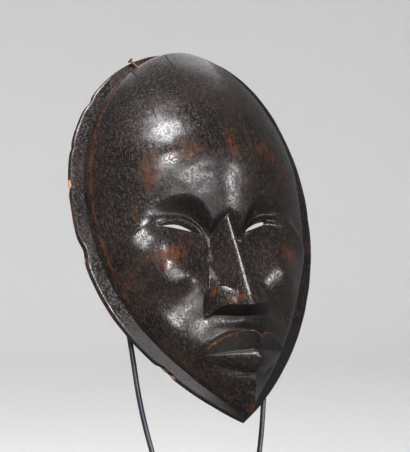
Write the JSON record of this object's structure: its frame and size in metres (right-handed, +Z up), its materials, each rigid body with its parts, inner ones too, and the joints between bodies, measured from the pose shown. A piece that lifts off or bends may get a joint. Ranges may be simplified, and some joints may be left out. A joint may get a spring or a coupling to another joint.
{
  "type": "carved wooden face mask on a stand",
  "caption": "Oval wooden face mask with a high forehead, narrow slit eyes and full lips, hollow behind, leaning back on two bent rods set in a flat foot.",
  "frame": {"origin": "middle of the foot's underside", "axes": "+Z up; the mask looks along -Y, leaning back; +X to the right as one faces the mask"},
  "size_m": [0.1604, 0.1207, 0.3301],
  "materials": {
    "patinated_wood": "near-black rubbed patina, satin to glossy, worn to orange-brown wood on edges, brow and cheeks",
    "rusted_iron": "old dark iron with a brown bloom",
    "black_rod": "blue-black paint, half gloss",
    "black_plate": "black paint, satin"
  },
  "bodies": {
    "root": {"mask": "patinated_wood", "nail": "rusted_iron", "stand_rod_left": "black_rod", "stand_rod_right": "black_rod", "stand_foot": "black_plate"}
  },
  "joints": []
}
